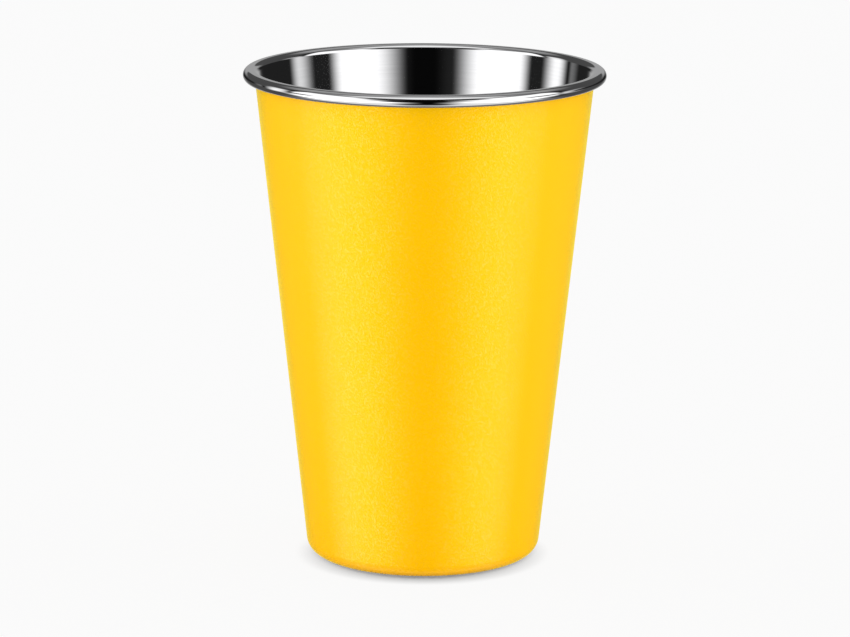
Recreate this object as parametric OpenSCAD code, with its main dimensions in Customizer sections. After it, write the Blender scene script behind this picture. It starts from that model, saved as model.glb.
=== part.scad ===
// Tapered steel shot cup, drawn from one sheet, with a rolled rim and a powder coat outside.
// Millimetres. The cup stands on z = 0 and its axis is Z.

/* [Rim] */
// Outside diameter over the rolled rim
rim_d = 48; // [46:0.5:52]
// Height of the rolled rim
roll_h = 1.55; // [1.4:0.05:1.65]
// How far the rolled rim stands out from the coated wall
roll_reach = 1.6; // [1.55:0.05:2]

/* [Wall] */
// Height from the table to the top of the rim
cup_h = 65.5; // [50:0.5:80]
// Diameter that the coated wall would have at the table if its corner were sharp
foot_d = 31; // [28:0.5:34]
// Thickness of the steel sheet
sheet_t = 0.4; // [0.3:0.05:0.5]
// Thickness of the powder coat
coat_t = 0.1; // [0.06:0.02:0.14]

/* [Base] */
// Outside radius of the steel at the corner between wall and base
corner_r = 1.9; // [1.6:0.1:3]
// Width of the flat ring that the cup stands on
stand_w = 3; // [2:0.5:4]
// How far the middle of the base is pressed up
panel_rise = 0.8; // [0.5:0.1:1.1]
// Radius of the two bends round the raised middle, at mid sheet
step_r = 1; // [0.8:0.1:1.4]

/* [Hidden] */
$fn = 160;

// Largest turn of one straight step along a bend, in degrees
bend_step = 6;
// Gap between the cut edge of the sheet, tucked under the rim, and the wall
edge_gap = 0.12;
// Gap between the upper edge of the coat and the underside of the rim
coat_gap = 0.1;

// Rolled rim: outside radius of its rounds, the same at mid sheet, and the height of their centres
roll_r = roll_h / 2;
roll_mid = roll_r - sheet_t / 2;
roll_z = cup_h - roll_r;

// Wall: its lean from upright, its heading as a turn from level, and mid sheet behind the coat's face
wall_top_r = rim_d / 2 - roll_reach;
lean = atan((wall_top_r - foot_d / 2) / (cup_h - roll_h));
wall_turn = 90 - lean;
sheet_mid = coat_t + sheet_t / 2;

// Base: radius of the corner at mid sheet, and the turn and width of the step up to the middle
corner_mid = corner_r - sheet_t / 2;
step_turn = acos(1 - panel_rise / (2 * step_r));
step_w = 2 * step_r * sin(step_turn);

// Radius at height z of the cone that lies depth behind the coat's outer face
function wall_r(z, depth) = foot_d / 2 + z * tan(lean) - depth / cos(lean);

// Centres of the bends, as [radius, height]
corner_at = [wall_r(corner_r, coat_t + corner_r), corner_r];
heel_at = [corner_at.x - stand_w, sheet_t / 2 + step_r];
shoulder_at = [heel_at.x - step_w, sheet_t / 2 + panel_rise - step_r];
lip_at = [wall_r(roll_z, sheet_mid - roll_mid), roll_z];
curl_at = [rim_d / 2 - roll_r, roll_z];

// Ends of the sheet and the coat, at mid sheet
middle_at = [0, panel_rise + sheet_t / 2];
edge_z = roll_z - roll_mid;
edge_at = [wall_r(edge_z, coat_t) + edge_gap, edge_z];
coat_top_z = cup_h - roll_h - coat_gap;
coat_top_at = [wall_r(coat_top_z, sheet_mid), coat_top_z];

// The coat starts on the corner, high enough to leave the standing ring bare
coat_turn = wall_turn * 2 / 7;

// A path is a list of bends, each [centre, radius, first heading, last heading], joined by straight runs.
// A left turn has a positive radius, and an end of the path is a bend of radius 0.
sheet_path = [
    [middle_at, 0, 0, 0],
    [shoulder_at, -step_r, 0, -step_turn],
    [heel_at, step_r, -step_turn, 0],
    [corner_at, corner_mid, 0, wall_turn],
    [lip_at, -roll_mid, wall_turn, 0],
    [curl_at, -roll_mid, 0, -180],
    [edge_at, 0, -180, -180],
];
coat_path = [
    [corner_at, corner_mid, coat_turn, wall_turn],
    [coat_top_at, 0, wall_turn, wall_turn],
];

function bend_steps(bend) = ceil(abs(bend[3] - bend[2]) / bend_step);

function bend_heading(bend, i) =
    bend[2] + (bend[3] - bend[2]) * i / max(1, bend_steps(bend));

// Points along a path, shifted sideways to the outer face of the sheet by out
function face(path, out) = [
    for (bend = path, i = [0 : bend_steps(bend)])
        let (h = bend_heading(bend, i))
        bend[0] + (bend[1] + out) * [sin(h), -cos(h)]
];

function backwards(list) = [for (i = [len(list) - 1 : -1 : 0]) list[i]];

// Half section of a layer that follows a path between two sideways shifts
module layer(path, from, to) {
    polygon(concat(face(path, to), backwards(face(path, from))));
}

// Drawn cup: raised middle, standing ring, corner, wall, and the rim rolled outwards over itself
module steel_cup() {
    color([0.78, 0.78, 0.79])
        rotate_extrude()
            layer(sheet_path, -sheet_t / 2, sheet_t / 2);
}

// Coat on the outside of the wall and most of the corner
module powder_coat() {
    color([1, 0.77, 0])
        rotate_extrude()
            layer(coat_path, sheet_t / 2, sheet_t / 2 + coat_t);
}

steel_cup();
powder_coat();
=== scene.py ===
"""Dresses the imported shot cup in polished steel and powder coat, in a plain white studio.

Lengths are in metres and angles in degrees. The cup stands on z = 0, its axis is Z, and the camera
looks along +Y. An azimuth is counted from the camera's side of the cup towards +X.
"""

import logging
import math
from dataclasses import dataclass, field
from enum import Enum
from typing import Any, Mapping, Optional, Sequence, Union

import bpy
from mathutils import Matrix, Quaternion, Vector


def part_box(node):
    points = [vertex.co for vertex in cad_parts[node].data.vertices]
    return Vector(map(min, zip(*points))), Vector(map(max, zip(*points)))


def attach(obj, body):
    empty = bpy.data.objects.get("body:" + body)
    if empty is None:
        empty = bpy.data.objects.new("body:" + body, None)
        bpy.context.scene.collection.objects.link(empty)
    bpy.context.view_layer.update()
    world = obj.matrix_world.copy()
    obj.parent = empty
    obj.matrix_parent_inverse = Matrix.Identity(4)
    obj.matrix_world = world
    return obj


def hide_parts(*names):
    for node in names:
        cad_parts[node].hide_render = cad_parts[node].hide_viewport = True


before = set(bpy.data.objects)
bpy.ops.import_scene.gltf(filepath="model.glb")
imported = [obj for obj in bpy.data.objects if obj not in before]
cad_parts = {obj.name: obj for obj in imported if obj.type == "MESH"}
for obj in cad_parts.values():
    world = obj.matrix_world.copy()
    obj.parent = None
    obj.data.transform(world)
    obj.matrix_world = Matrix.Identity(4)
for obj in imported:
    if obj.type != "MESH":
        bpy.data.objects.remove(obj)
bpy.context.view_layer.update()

BODY = "root"
MM = 0.001
MICRON = 0.000001

# Sockets of a Mix node that belong to colours
MIX_FACTOR = 0
MIX_FIRST = 6
MIX_SECOND = 7
MIX_RESULT = 2

log = logging.getLogger("shot_cup")

Colour = tuple[float, float, float]
Fade = tuple[float, float]
Input = Union["Socket", float, Sequence[float]]


class CadNode(Enum):
    """CAD nodes that the new pieces stand for."""

    STEEL_CUP = "steel_cup"
    POWDER_COAT = "powder_coat"


class Slot(Enum):
    """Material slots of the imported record."""

    STEEL = "steel"
    COAT = "coat"


class Side(Enum):
    """Side of the tent, as the sign of its azimuths."""

    LEFT = -1.0
    BOTH = 0.0
    RIGHT = 1.0


class Socket:
    """A node's output that takes part in Python expressions, where each operator adds a Math node."""

    def __init__(self, graph: "Graph", output: bpy.types.NodeSocket) -> None:
        """Keeps the output and the graph that it belongs to."""
        self.graph = graph
        self.output = output

    def _math(self, operation: str, first: Input, second: Input) -> "Socket":
        """Adds one Math node.

        Args:
            operation: Blender's name of the operation.
            first: Left operand.
            second: Right operand.

        Returns:
            The node's value.
        """
        return self.graph.node("ShaderNodeMath", {"operation": operation}, {0: first, 1: second})

    def __add__(self, other: Input) -> "Socket":
        """Sum."""
        return self._math("ADD", self, other)

    def __radd__(self, other: Input) -> "Socket":
        """Sum, with this on the right."""
        return self._math("ADD", other, self)

    def __sub__(self, other: Input) -> "Socket":
        """Difference."""
        return self._math("SUBTRACT", self, other)

    def __rsub__(self, other: Input) -> "Socket":
        """Difference, with this on the right."""
        return self._math("SUBTRACT", other, self)

    def __mul__(self, other: Input) -> "Socket":
        """Product."""
        return self._math("MULTIPLY", self, other)

    def __rmul__(self, other: Input) -> "Socket":
        """Product, with this on the right."""
        return self._math("MULTIPLY", other, self)

    def __truediv__(self, other: Input) -> "Socket":
        """Quotient."""
        return self._math("DIVIDE", self, other)

    def __rtruediv__(self, other: Input) -> "Socket":
        """Quotient, with this on the right."""
        return self._math("DIVIDE", other, self)

    def __pow__(self, other: Input) -> "Socket":
        """Power."""
        return self._math("POWER", self, other)

    def __rpow__(self, other: Input) -> "Socket":
        """Power, with this on the right."""
        return self._math("POWER", other, self)

    def larger(self, other: Input) -> "Socket":
        """The larger of the two values."""
        return self._math("MAXIMUM", self, other)

    def smaller(self, other: Input) -> "Socket":
        """The smaller of the two values."""
        return self._math("MINIMUM", self, other)

    def size(self) -> "Socket":
        """The value without its sign."""
        return self._math("ABSOLUTE", self, 0.0)

    def angle_from(self, base: Input) -> "Socket":
        """The angle, in degrees, whose sine and cosine go as this value and the base."""
        return self._math("DEGREES", self._math("ARCTAN2", self, base), 0.0)

    def arc_sine(self) -> "Socket":
        """The angle, in degrees, of which this is the sine."""
        return self._math("DEGREES", self._math("ARCSINE", self, 0.0), 0.0)


class Graph:
    """A node tree that is built by code."""

    def __init__(self, tree: bpy.types.NodeTree) -> None:
        """Empties the tree."""
        self.tree = tree
        self.tree.nodes.clear()

    @classmethod
    def of_material(cls, name: str) -> tuple[bpy.types.Material, "Graph"]:
        """Makes a material.

        Args:
            name: Name of the material.

        Returns:
            The material and its empty graph.
        """
        material = bpy.data.materials.new(name)
        material.use_nodes = True
        return material, cls(material.node_tree)

    def node(
        self,
        kind: str,
        settings: Optional[Mapping[str, Any]] = None,
        inputs: Optional[Mapping[Union[str, int], Input]] = None,
        output: Union[str, int] = 0,
    ) -> Socket:
        """Adds any node.

        Args:
            kind: Blender's type name of the node.
            settings: Attributes that are set first.
            inputs: Values or links of its input sockets.
            output: The output that is wanted.

        Returns:
            That output.
        """
        made = self.tree.nodes.new(kind)
        for name, value in (settings or {}).items():
            setattr(made, name, value)
        for name, value in (inputs or {}).items():
            if isinstance(value, Socket):
                self.tree.links.new(value.output, made.inputs[name])
            else:
                made.inputs[name].default_value = value
        return Socket(self, made.outputs[output])

    def end(self, kind: str, surface: Socket) -> None:
        """Links the finished shader to the tree's output node."""
        made = self.tree.nodes.new(kind)
        self.tree.links.new(surface.output, made.inputs["Surface"])

    def place(self) -> tuple[Socket, Socket, Socket]:
        """Reads the Object coordinates.

        Returns:
            x, y and z, in metres.
        """
        coordinates = self.node("ShaderNodeTexCoord", output="Object")
        split = self.node("ShaderNodeSeparateXYZ", inputs={0: coordinates})
        x, y, z = split.output.node.outputs
        return Socket(self, x), Socket(self, y), Socket(self, z)

    def vector(self, x: Input, y: Input, z: Input) -> Socket:
        """Joins three values into a vector."""
        return self.node("ShaderNodeCombineXYZ", inputs={0: x, 1: y, 2: z})

    def smooth_step(self, value: Input, start: float, end: float) -> Socket:
        """Rises smoothly from 0 to 1.

        Args:
            value: The value that is looked at.
            start: Where the rise starts.
            end: Where it ends.

        Returns:
            0 before start, 1 after end, and a smooth rise between them.
        """
        return self.node(
            "ShaderNodeMapRange",
            {"interpolation_type": "SMOOTHSTEP"},
            {"Value": value, "From Min": start, "From Max": end},
        )

    def blend(self, factor: Input, first: Input, second: Input) -> Socket:
        """Mixes two colours.

        Args:
            factor: Share of the second colour.
            first: Colour at 0.
            second: Colour at 1.

        Returns:
            The mixed colour.
        """
        return self.node(
            "ShaderNodeMix",
            {"data_type": "RGBA"},
            {MIX_FACTOR: factor, MIX_FIRST: first, MIX_SECOND: second},
            MIX_RESULT,
        )


def opaque(colour: Sequence[float]) -> tuple[float, ...]:
    """The colour with full alpha, as a socket takes it."""
    return (*colour, 1.0)


def clear_selection() -> None:
    """Deselects every object, the CAD nodes among them."""
    bpy.ops.object.select_all(action="DESELECT")


@dataclass(frozen=True)
class Bend:
    """A round stretch of a sheet's half section, at the middle of the sheet.

    A left turn has a positive radius, and an end of the section is a bend of radius 0.
    """

    centre: tuple[float, float]
    radius: float
    first: float
    last: float

    def point(self, heading: float, out: float = 0.0) -> Vector:
        """Gives a point of the bend.

        Args:
            heading: Direction of travel there, as a turn from level.
            out: Sideways shift towards the sheet's outer face.

        Returns:
            The point, in the plane y = 0.
        """
        turn = math.radians(heading)
        reach = self.radius + out
        return Vector(
            (self.centre[0] + reach * math.sin(turn), 0.0, self.centre[1] - reach * math.cos(turn))
        )


@dataclass
class Lathe:
    """Draws a sheet's half section with edit-mode tools and turns it round the cup's axis."""

    name: str
    # Steps of the full turn, and the largest step along a bend
    segments: int = 288
    bend_step: float = 5.0
    # Distance of the extra loops from the ends of a straight run, and the shortest run that has them
    hold: float = 0.15 * MM
    held_run: float = 0.45 * MM
    # Points closer than this are one
    weld: float = 0.5 * MICRON
    # Angle from which an edge is sharp, and the steps of its rounding
    sharp_angle: float = 40.0
    edge_steps: int = 2
    # Last point drawn
    pen: Vector = field(default_factory=Vector)

    def draw(self, path: Sequence[Bend], out: float) -> None:
        """Draws the open section of a path that is shifted sideways.

        Args:
            path: The bends, joined by straight runs.
            out: Sideways shift towards the sheet's outer face.
        """
        self._begin(path[0].point(path[0].first, out))
        for bend in path:
            self._run(bend.point(bend.first, out))
            self._turn(bend, out)

    def _begin(self, start: Vector) -> None:
        """Adds a small plane at the start of the section and shrinks it to one vertex.

        Args:
            start: First point of the section.
        """
        clear_selection()
        bpy.ops.mesh.primitive_plane_add(size=self.hold, location=start)
        made = bpy.context.object
        made.name = self.name
        made.data.name = self.name
        bpy.ops.object.transform_apply(location=True, rotation=True, scale=True)
        bpy.ops.object.mode_set(mode="EDIT")
        bpy.ops.mesh.select_all(action="SELECT")
        bpy.ops.mesh.merge(type="CENTER")
        self.pen = start.copy()

    def _run(self, to: Vector) -> None:
        """Extrudes a straight run, with a loop close to each end to keep its shading straight.

        Args:
            to: Where the run ends.
        """
        along = to - self.pen
        if along.length < self.weld:
            return
        stops = [1.0]
        if along.length > self.held_run:
            share = self.hold / along.length
            stops = [share, 1 - share, 1.0]
        start = self.pen.copy()
        for stop in stops:
            target = start + along * stop
            bpy.ops.mesh.extrude_region_move(TRANSFORM_OT_translate={"value": target - self.pen})
            self.pen = target

    def _turn(self, bend: Bend, out: float) -> None:
        """Spins the last vertex round the centre of a bend.

        Args:
            bend: The bend.
            out: Sideways shift towards the sheet's outer face.
        """
        turn = bend.last - bend.first
        if not turn:
            return
        bpy.ops.mesh.spin(
            steps=math.ceil(abs(turn) / self.bend_step),
            angle=math.radians(turn),
            center=(bend.centre[0], 0.0, bend.centre[1]),
            axis=(0.0, 1.0, 0.0),
        )
        self.pen = bend.point(bend.last, out)

    def revolve(self, thickness: float, edge_round: float = 0.0) -> bpy.types.Object:
        """Turns the drawn section round the axis and gives it its thickness.

        Args:
            thickness: Thickness of the sheet, half on each side of the drawn line.
            edge_round: Width of the rounding along the sheet's edges.

        Returns:
            The finished piece.
        """
        bpy.ops.mesh.select_all(action="SELECT")
        bpy.ops.mesh.spin(
            steps=self.segments,
            angle=math.tau,
            center=(0.0, 0.0, 0.0),
            axis=(0.0, 0.0, 1.0),
            use_auto_merge=True,
        )
        bpy.ops.mesh.select_all(action="SELECT")
        bpy.ops.mesh.remove_doubles(threshold=self.weld)
        bpy.ops.mesh.normals_make_consistent(inside=False)
        bpy.ops.object.mode_set(mode="OBJECT")
        piece = bpy.context.object
        self._thicken(piece, thickness)
        if edge_round:
            self._round_edges(piece, edge_round)
        bpy.ops.object.shade_smooth_by_angle(angle=math.radians(self.sharp_angle))
        return piece

    @staticmethod
    def _thicken(piece: bpy.types.Object, thickness: float) -> None:
        """Gives a turned surface its thickness.

        Args:
            piece: The surface.
            thickness: Thickness, half on each side.
        """
        sheet = piece.modifiers.new("sheet", "SOLIDIFY")
        sheet.thickness = thickness
        sheet.offset = 0.0
        sheet.use_even_offset = True
        sheet.use_quality_normals = True
        bpy.ops.object.modifier_apply(modifier=sheet.name)

    def _round_edges(self, piece: bpy.types.Object, width: float) -> None:
        """Rounds the sharp edges of a piece.

        Args:
            piece: The piece.
            width: Width of the rounding.
        """
        edge = piece.modifiers.new("edge", "BEVEL")
        edge.width = width
        edge.segments = self.edge_steps
        edge.limit_method = "ANGLE"
        edge.angle_limit = math.radians(self.sharp_angle)
        bpy.ops.object.modifier_apply(modifier=edge.name)


@dataclass(frozen=True)
class SteelFinish:
    """Bright stainless steel, polished while it spins, so its fine lines run round the axis."""

    # Colour between the strokes, and the share of it that is left in the darkest of them
    colour: Colour = (0.76, 0.76, 0.77)
    stroke_dark: float = 0.86
    # Roughness, with the shares of it that are even, that follow the lines and that follow the smudges
    roughness: float = 0.038
    even_rough: float = 0.75
    line_rough: float = 0.3
    smudge_rough: float = 0.2
    # Stretch of the reflections, and the part of a full turn that sets it across the lines
    anisotropy: float = 0.85
    across_the_lines: float = 0.25
    # Unbroken rings round the axis
    ring_scale: float = 1600.0
    ring_detail: float = 5.0
    ring_sharpness: float = 0.6
    # Short strokes that run along the rings
    stroke_scale: float = 3200.0
    stroke_spread: float = 90.0
    stroke_detail: float = 3.0
    # Depth of the lines, with the shares of rings and strokes in it
    line_depth: float = 0.35 * MICRON
    ring_share: float = 0.6
    stroke_share: float = 0.4
    # Smudges in the polish
    smudge_scale: float = 130.0
    smudge_detail: float = 3.0

    def material(self) -> bpy.types.Material:
        """Builds the procedural material.

        Returns:
            The steel.
        """
        material, graph = Graph.of_material("polished_steel")
        x, y, z = graph.place()
        radius = (x * x + y * y) ** 0.5
        along = radius + z
        rings = graph.node(
            "ShaderNodeTexNoise",
            {"noise_dimensions": "1D"},
            {"W": along * self.ring_scale, "Detail": self.ring_detail, "Roughness": self.ring_sharpness},
        )
        lengthwise = graph.vector(x * self.stroke_spread, y * self.stroke_spread, along * self.stroke_scale)
        strokes = graph.node(
            "ShaderNodeTexNoise",
            inputs={"Vector": lengthwise, "Scale": 1.0, "Detail": self.stroke_detail},
        )
        smudges = graph.node(
            "ShaderNodeTexNoise",
            inputs={
                "Vector": graph.vector(x, y, z),
                "Scale": self.smudge_scale,
                "Detail": self.smudge_detail,
            },
        )
        relief = rings * self.ring_share + strokes * self.stroke_share
        normal = graph.node(
            "ShaderNodeBump",
            inputs={"Strength": 1.0, "Distance": self.line_depth, "Height": relief},
        )
        unevenness = self.even_rough + relief * self.line_rough + smudges * self.smudge_rough
        darkest = [self.stroke_dark * part for part in self.colour]
        shader = graph.node(
            "ShaderNodeBsdfPrincipled",
            inputs={
                "Base Color": graph.blend(strokes, opaque(darkest), opaque(self.colour)),
                "Metallic": 1.0,
                "Roughness": self.roughness * unevenness,
                "Anisotropic": self.anisotropy,
                "Anisotropic Rotation": self.across_the_lines,
                "Normal": normal,
            },
        )
        graph.end("ShaderNodeOutputMaterial", shader)
        return material


@dataclass(frozen=True)
class CoatFinish:
    """Satin powder coat with a fine leather-like grain."""

    # Colour, the paler one that it drifts to, and the shares of clouds and specks in that
    colour: Colour = (0.93, 0.49, 0.0002)
    pale: Colour = (0.955, 0.53, 0.001)
    cloud_share: float = 0.6
    speck_share: float = 0.4
    # Roughness, with the shares of it that are even and that follow the grain
    roughness: float = 0.2
    even_rough: float = 0.9
    grain_rough: float = 0.2
    # Tinted gloss of the colour layer
    specular: float = 0.45
    ior: float = 1.5
    gloss_tint: Colour = (1.0, 0.85, 0.0)
    # Clear top layer: its weight between the specks, what a speck adds to that, and its roughness
    clear_share: float = 0.08
    clear_specks: float = 0.46
    clear_roughness: float = 0.2
    # Sheen, which keeps the coat bright where it is seen at a low angle
    sheen: float = 1.0
    sheen_roughness: float = 0.3
    sheen_tint: Colour = (1.0, 0.87, 0.0)
    # Leather-like grain, and the heights in it between which the specks rise
    grain_scale: float = 3900.0
    grain_detail: float = 1.0
    grain_bend: float = 0.5
    grain_depth: float = 20.0 * MICRON
    speck_rise: Fade = (0.45, 0.7)
    # Soft clouds of colour
    cloud_scale: float = 90.0
    cloud_detail: float = 4.0

    def material(self) -> bpy.types.Material:
        """Builds the procedural material.

        Returns:
            The powder coat.
        """
        material, graph = Graph.of_material("powder_coat_yellow")
        x, y, z = graph.place()
        spot = graph.vector(x, y, z)
        grain = graph.node(
            "ShaderNodeTexNoise",
            inputs={
                "Vector": spot,
                "Scale": self.grain_scale,
                "Detail": self.grain_detail,
                "Distortion": self.grain_bend,
            },
        )
        clouds = graph.node(
            "ShaderNodeTexNoise",
            inputs={"Vector": spot, "Scale": self.cloud_scale, "Detail": self.cloud_detail},
        )
        normal = graph.node(
            "ShaderNodeBump",
            inputs={"Strength": 1.0, "Distance": self.grain_depth, "Height": grain},
        )
        specks = graph.smooth_step(grain, *self.speck_rise)
        paleness = clouds * self.cloud_share + specks * self.speck_share
        shader = graph.node(
            "ShaderNodeBsdfPrincipled",
            inputs={
                "Base Color": graph.blend(paleness, opaque(self.colour), opaque(self.pale)),
                "Roughness": self.roughness * (self.even_rough + grain * self.grain_rough),
                "IOR": self.ior,
                "Specular IOR Level": self.specular,
                "Specular Tint": opaque(self.gloss_tint),
                "Coat Weight": self.clear_share + specks * self.clear_specks,
                "Coat Roughness": self.clear_roughness,
                "Sheen Weight": self.sheen,
                "Sheen Roughness": self.sheen_roughness,
                "Sheen Tint": opaque(self.sheen_tint),
                "Normal": normal,
            },
        )
        graph.end("ShaderNodeOutputMaterial", shader)
        return material


@dataclass
class Cup:
    """The drawn steel cup and the powder coat on its outside."""

    rim_r: float
    height: float
    # Rolled rim: its height, and how far it stands out from the coated wall
    roll_h: float = 1.55 * MM
    roll_reach: float = 1.6 * MM
    # Wall: the radius that the coat would have at the table with a sharp corner, and the thicknesses
    foot_r: float = 15.5 * MM
    sheet_t: float = 0.4 * MM
    coat_t: float = 0.1 * MM
    # Base: its corner, the flat ring that the cup stands on, and the step up to the raised middle
    corner_r: float = 1.9 * MM
    stand_w: float = 3.0 * MM
    panel_rise: float = 0.8 * MM
    step_r: float = 1.0 * MM
    # Gap between the tucked edge of the sheet and the wall, and between the coat and the rim
    edge_gap: float = 0.12 * MM
    coat_gap: float = 0.1 * MM
    # Rounding of the coat's edges, and the share of the corner's turn that stays bare
    coat_edge: float = 0.03 * MM
    coat_start: float = 2 / 7
    steel: SteelFinish = field(default_factory=SteelFinish)
    coat: CoatFinish = field(default_factory=CoatFinish)

    @classmethod
    def in_frame(cls) -> "Cup":
        """Takes the cup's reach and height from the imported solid."""
        low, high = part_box(CadNode.STEEL_CUP.value)
        return cls(rim_r=min(high.x, high.y, -low.x, -low.y) - MICRON, height=high.z)

    def _wall_r(self, z: float, depth: float) -> float:
        """Radius at height z of the cone that lies depth behind the coat's outer face."""
        lean = self._lean()
        return self.foot_r + z * math.tan(lean) - depth / math.cos(lean)

    def _lean(self) -> float:
        """Lean of the wall from upright, in radians."""
        rise = self.height - self.roll_h
        return math.atan((self.rim_r - self.roll_reach - self.foot_r) / rise)

    def _wall_turn(self) -> float:
        """Heading of the wall, as a turn from level."""
        return 90.0 - math.degrees(self._lean())

    def _corner(self, first: float) -> Bend:
        """The bend between base and wall, from a heading on."""
        centre = (self._wall_r(self.corner_r, self.coat_t + self.corner_r), self.corner_r)
        return Bend(centre, self.corner_r - self.sheet_t / 2, first, self._wall_turn())

    def sheet_path(self) -> list[Bend]:
        """Lays out the steel's half section.

        Returns:
            The bends, from the axis to the edge that is tucked under the rim.
        """
        half = self.sheet_t / 2
        step_turn = math.degrees(math.acos(1 - self.panel_rise / (2 * self.step_r)))
        step_w = 2 * self.step_r * math.sin(math.radians(step_turn))
        corner = self._corner(0.0)
        heel = (corner.centre[0] - self.stand_w, half + self.step_r)
        shoulder = (heel[0] - step_w, half + self.panel_rise - self.step_r)
        roll_r = self.roll_h / 2
        roll_mid = roll_r - half
        roll_z = self.height - roll_r
        lip = (self._wall_r(roll_z, self.coat_t + half - roll_mid), roll_z)
        curl = (self.rim_r - roll_r, roll_z)
        edge_z = roll_z - roll_mid
        edge = (self._wall_r(edge_z, self.coat_t) + self.edge_gap, edge_z)
        return [
            Bend((0.0, self.panel_rise + half), 0.0, 0.0, 0.0),
            Bend(shoulder, -self.step_r, 0.0, -step_turn),
            Bend(heel, self.step_r, -step_turn, 0.0),
            corner,
            Bend(lip, -roll_mid, self._wall_turn(), 0.0),
            Bend(curl, -roll_mid, 0.0, -180.0),
            Bend(edge, 0.0, -180.0, -180.0),
        ]

    def coat_path(self) -> list[Bend]:
        """Lays out the coat's half section, at the middle of the sheet that it covers.

        Returns:
            The bends, from the corner to just under the rim.
        """
        turn = self._wall_turn()
        top_z = self.height - self.roll_h - self.coat_gap
        top = (self._wall_r(top_z, self.coat_t + self.sheet_t / 2), top_z)
        return [self._corner(turn * self.coat_start), Bend(top, 0.0, turn, turn)]

    def build(self) -> list[bpy.types.Object]:
        """Makes both pieces and dresses them.

        Returns:
            The steel cup and its coat.
        """
        lathe = Lathe("steel_shell")
        lathe.draw(self.sheet_path(), 0.0)
        shell = lathe.revolve(self.sheet_t)
        self._dress(shell, self.steel.material(), CadNode.STEEL_CUP, Slot.STEEL)
        lathe = Lathe("yellow_coat")
        lathe.draw(self.coat_path(), (self.sheet_t + self.coat_t) / 2)
        skin = lathe.revolve(self.coat_t, self.coat_edge)
        self._dress(skin, self.coat.material(), CadNode.POWDER_COAT, Slot.COAT)
        return [shell, skin]

    @staticmethod
    def _dress(
        piece: bpy.types.Object, material: bpy.types.Material, node: CadNode, slot: Slot
    ) -> None:
        """Gives a piece its material and its place in the frame.

        The piece is kept out of reflections, so that the steel shows the studio and not the cup itself.

        Args:
            piece: The finished mesh.
            material: Its finish.
            node: The CAD node that it stands for.
            slot: The record's material slot; not used.
        """
        piece.data.materials.append(material)
        piece.visible_glossy = False
        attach(piece, BODY)
        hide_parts(node.value)


@dataclass(frozen=True)
class Patch:
    """A part of the tent with soft edges. An edge fades between two angles, and a missing one is open."""

    name: str
    level: float
    side: Side = Side.BOTH
    azimuth_in: Optional[Fade] = None
    azimuth_out: Optional[Fade] = None
    height_in: Optional[Fade] = None
    height_out: Optional[Fade] = None

    def mask(self, graph: Graph, azimuth: Socket, height: Socket) -> Socket:
        """Gives 1 inside the patch and 0 outside, in a node that is labelled with the patch's name.

        Args:
            graph: The tent's node tree.
            azimuth: Angle from the camera's side.
            height: Angle above the horizon.

        Returns:
            The faded mask.
        """
        turn = azimuth.size() if self.side is Side.BOTH else azimuth * self.side.value
        faded: Input = 1.0
        for angle, rise, fall in (
            (turn, self.azimuth_in, self.azimuth_out),
            (height, self.height_in, self.height_out),
        ):
            if rise:
                faded = graph.smooth_step(angle, *rise) * faded
            if fall:
                faded = (1.0 - graph.smooth_step(angle, *fall)) * faded
        faded.output.node.label = self.name
        return faded


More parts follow.
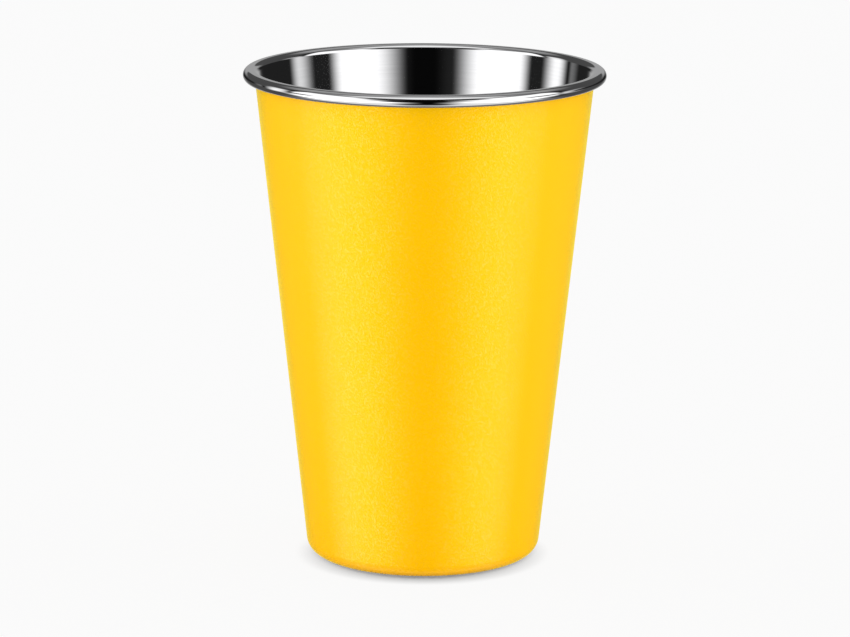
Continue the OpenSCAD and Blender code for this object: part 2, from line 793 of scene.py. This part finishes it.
@dataclass(frozen=True)
class Tent:
    """The light tent that shows in the steel and the coat. It gives reflections only, and no light.

    It has two lit sides, a dark slit for the camera in front, a dark back and a lit roof. Its patches
    are painted in order, so a later one covers those before it.
    """

    radius: float = 12.0
    segments: int = 64
    rings: int = 32
    unlit: float = 0.003
    patches: tuple[Patch, ...] = (
        Patch("front_edges", 0.02, azimuth_in=(6.0, 20.0)),
        Patch("far_half", 0.08, azimuth_in=(98.0, 112.0)),
        Patch("skirt", 0.2, height_out=(-46.0, -36.0)),
        Patch("front_skirt", 1.0, Side.BOTH, (10.0, 34.0), (95.0, 115.0), None, (-46.0, -36.0)),
        Patch("front_slit", unlit, Side.BOTH, None, (12.0, 30.0), (-62.0, -54.0), (-20.0, -10.0)),
        Patch("ground", 0.6, azimuth_out=(20.0, 45.0), height_out=(-75.0, -55.0)),
        Patch("back", 0.4, azimuth_in=(150.0, 170.0), height_in=(-45.0, -20.0), height_out=(10.0, 12.0)),
        Patch("upper_back", 0.5, azimuth_in=(136.0, 160.0), height_in=(36.0, 46.0)),
        Patch("far_roof", 0.4, azimuth_in=(100.0, 120.0), height_in=(34.0, 50.0)),
        Patch("side_roof", 0.35, azimuth_out=(76.0, 116.0), height_in=(40.0, 50.0)),
        Patch("roof", 1.15, azimuth_out=(56.0, 84.0), height_in=(46.0, 54.0)),
        Patch("low_left", 5.2, Side.LEFT, (0.0, 50.0), (62.0, 108.0), (-50.0, -14.0), (-14.0, -8.0)),
        Patch("low_right", 4.4, Side.RIGHT, (4.0, 52.0), (58.0, 102.0), (-50.0, -14.0), (-14.0, -8.0)),
        Patch("left_panel", 1.5, Side.LEFT, (19.0, 40.5), (89.0, 95.0), (-20.0, -14.0), (32.0, 44.0)),
        Patch("right_panel", 1.5, Side.RIGHT, (11.5, 37.0), (90.0, 96.0), (-20.0, -14.0), (32.0, 44.0)),
        Patch("brow", 0.05, Side.BOTH, (10.0, 20.0), (34.0, 50.0), (17.0, 24.0), (46.0, 54.0)),
        Patch("far_left", 1.2, Side.LEFT, (94.0, 103.0), (108.0, 122.0), (-18.0, -8.0), (14.0, 26.0)),
        Patch("far_right", 0.6, Side.RIGHT, (94.0, 100.0), (103.0, 124.0), (-18.0, -8.0), (10.0, 16.0)),
        Patch("left_gap", 0.018, Side.LEFT, (70.0, 82.0), (160.0, 175.0), (-8.0, -5.0), (3.5, 5.5)),
        Patch("right_gap", 0.018, Side.RIGHT, (60.0, 73.0), (160.0, 175.0), (-8.0, -5.0), (3.5, 5.5)),
        Patch("left_slot", 1.4, Side.LEFT, (90.5, 106.0), (108.0, 121.0), (-8.0, -5.0), (3.5, 5.5)),
        Patch("left_slit", 0.2, Side.LEFT, (121.0, 126.0), (126.0, 138.0), (-8.0, -5.0), (3.5, 5.5)),
        Patch("right_slot", 0.95, Side.RIGHT, (84.0, 100.0), (100.0, 111.0), (-8.0, -5.0), (3.5, 5.5)),
    )

    def build(self) -> None:
        """Adds the tent to the stage."""
        clear_selection()
        bpy.ops.mesh.primitive_uv_sphere_add(
            radius=self.radius, segments=self.segments, ring_count=self.rings
        )
        tent = bpy.context.object
        tent.name = "tent"
        for rays in ("camera", "diffuse", "shadow", "transmission", "volume_scatter"):
            setattr(tent, "visible_" + rays, False)
        tent.data.materials.append(self._material())

    def _material(self) -> bpy.types.Material:
        """Gives every direction the level of the last patch that covers it.

        Returns:
            The glowing material.
        """
        material, graph = Graph.of_material("tent")
        x, y, z = graph.place()
        azimuth = x.angle_from(0.0 - y)
        height = (z / self.radius).arc_sine()
        level: Input = self.unlit
        for patch in self.patches:
            level = level + patch.mask(graph, azimuth, height) * (patch.level - level)
        glow = graph.node("ShaderNodeEmission", inputs={"Strength": level})
        graph.end("ShaderNodeOutputMaterial", glow)
        material.cycles.emission_sampling = "NONE"
        return material


@dataclass(frozen=True)
class Lamp:
    """A square soft lamp that faces the cup. It gives light, and the tent stands for it in reflections."""

    name: str
    azimuth: float
    height: float
    power: float
    distance: float = 1.0
    size: float = 0.9

    def build(self) -> None:
        """Adds the lamp."""
        turn = math.radians(self.azimuth)
        rise = math.radians(self.height)
        toward = Vector(
            (math.sin(turn) * math.cos(rise), -math.cos(turn) * math.cos(rise), math.sin(rise))
        )
        data = bpy.data.lights.new(self.name, "AREA")
        data.energy = self.power
        data.size = self.size
        lamp = bpy.data.objects.new(self.name, data)
        bpy.context.scene.collection.objects.link(lamp)
        lamp.location = toward * self.distance
        lamp.rotation_mode = "QUATERNION"
        lamp.rotation_quaternion = toward.to_track_quat("Z", "Y")
        lamp.visible_camera = False
        lamp.visible_glossy = False


@dataclass
class Studio:
    """White floor and surroundings, soft lamps, the tent for reflections and the camera."""

    # Floor: its width, its own white, and the share of its look that is an even glow
    floor_size: float = 8.0
    floor_white: float = 0.95
    floor_glow: float = 0.97
    # Shadow in the glow: how near the cup has to be, the open shares at which the glow is gone and full,
    # the power between them, and the direction round which openness is measured
    shadow_reach: float = 3.8 * MM
    shadow_core: float = 0.225
    shadow_end: float = 0.8
    shadow_depth: float = 0.33
    shadow_from: tuple[float, float, float] = (0.0, 0.87, 0.5)
    # Surroundings: their light, and the white that they and the floor show
    sky_light: float = 1.0
    seen_white: float = 0.955
    lamps: tuple[Lamp, ...] = (
        Lamp("lamp_left", -97.0, 20.0, 4.8),
        Lamp("lamp_right", 97.0, 20.0, 4.8),
    )
    tent: Tent = field(default_factory=Tent)
    # Camera: its place, the point that it looks at, its roll, and its lens and sensor in millimetres
    camera_at: tuple[float, float, float] = (0.0, -0.504, 0.1412)
    camera_aim: tuple[float, float, float] = (0.00017, 0.0, 0.0317)
    camera_roll: float = 0.25
    camera_lens: float = 163.24
    sensor_width: float = 36.0

    def build(self) -> None:
        """Makes the whole studio."""
        bpy.context.scene.view_settings.view_transform = "Standard"
        self._sky()
        self._floor()
        self.tent.build()
        for lamp in self.lamps:
            lamp.build()
        self._camera()

    @staticmethod
    def _seen(graph: Graph) -> Socket:
        """Tells what is looked at from what only gives light.

        Args:
            graph: The node tree that asks.

        Returns:
            1 where the camera, a reflection or a view through glass looks, and 0 for lighting.
        """
        path = graph.node("ShaderNodeLightPath")
        outputs = path.output.node.outputs
        camera, glossy, through = (
            Socket(graph, outputs[name])
            for name in ("Is Camera Ray", "Is Glossy Ray", "Is Transmission Ray")
        )
        return camera.larger(glossy).larger(through)

    def _sky(self) -> None:
        """Makes even surroundings, with a white to look at and a level of light."""
        world = bpy.data.worlds.new("white_surroundings")
        world.use_nodes = True
        bpy.context.scene.world = world
        graph = Graph(world.node_tree)
        level = self.sky_light + self._seen(graph) * (self.seen_white - self.sky_light)
        sky = graph.node(
            "ShaderNodeBackground", inputs={"Color": (1.0, 1.0, 1.0, 1.0), "Strength": level}
        )
        graph.end("ShaderNodeOutputWorld", sky)
        world.cycles_visibility.glossy = False

    def _floor(self) -> None:
        """Adds a white floor that keeps the cup's shadow."""
        clear_selection()
        bpy.ops.mesh.primitive_plane_add(size=self.floor_size)
        floor = bpy.context.object
        floor.name = "floor"
        floor.visible_glossy = False
        floor.data.materials.append(self._floor_material())

    def _floor_material(self) -> bpy.types.Material:
        """Mixes a matt white with an even glow that darkens close to the cup.

        Returns:
            The floor's material.
        """
        material, graph = Graph.of_material("white_floor")
        white = opaque([self.floor_white] * 3)
        matt = graph.node("ShaderNodeBsdfDiffuse", inputs={"Color": white})
        toward_light = graph.vector(*self.shadow_from)
        open_share = graph.node(
            "ShaderNodeAmbientOcclusion",
            inputs={"Distance": self.shadow_reach, "Normal": toward_light},
            output="AO",
        )
        lit_share = (open_share - self.shadow_core) / (self.shadow_end - self.shadow_core)
        level = (lit_share.larger(0.0).smaller(1.0) ** self.shadow_depth) * self.seen_white
        glow = graph.node("ShaderNodeEmission", inputs={"Strength": level})
        share = self._seen(graph) * self.floor_glow
        mixed = graph.node("ShaderNodeMixShader", inputs={0: share, 1: matt, 2: glow})
        graph.end("ShaderNodeOutputMaterial", mixed)
        return material

    def _camera(self) -> None:
        """Puts the camera where the photograph was taken from."""
        data = bpy.data.cameras.new("camera")
        data.lens = self.camera_lens
        data.sensor_width = self.sensor_width
        camera = bpy.data.objects.new("camera", data)
        bpy.context.scene.collection.objects.link(camera)
        camera.location = self.camera_at
        look = Vector(self.camera_aim) - Vector(self.camera_at)
        roll = Quaternion((0.0, 0.0, 1.0), math.radians(self.camera_roll))
        camera.rotation_mode = "QUATERNION"
        camera.rotation_quaternion = look.to_track_quat("-Z", "Y") @ roll
        bpy.context.scene.camera = camera


def main() -> None:
    """Builds the studio and the cup, and reports each piece."""
    logging.basicConfig(level=logging.INFO, format="%(name)s: %(message)s")
    Studio().build()
    for piece in Cup.in_frame().build():
        log.info("%s: %d faces", piece.name, len(piece.data.polygons))


if __name__ == "__main__":
    main()
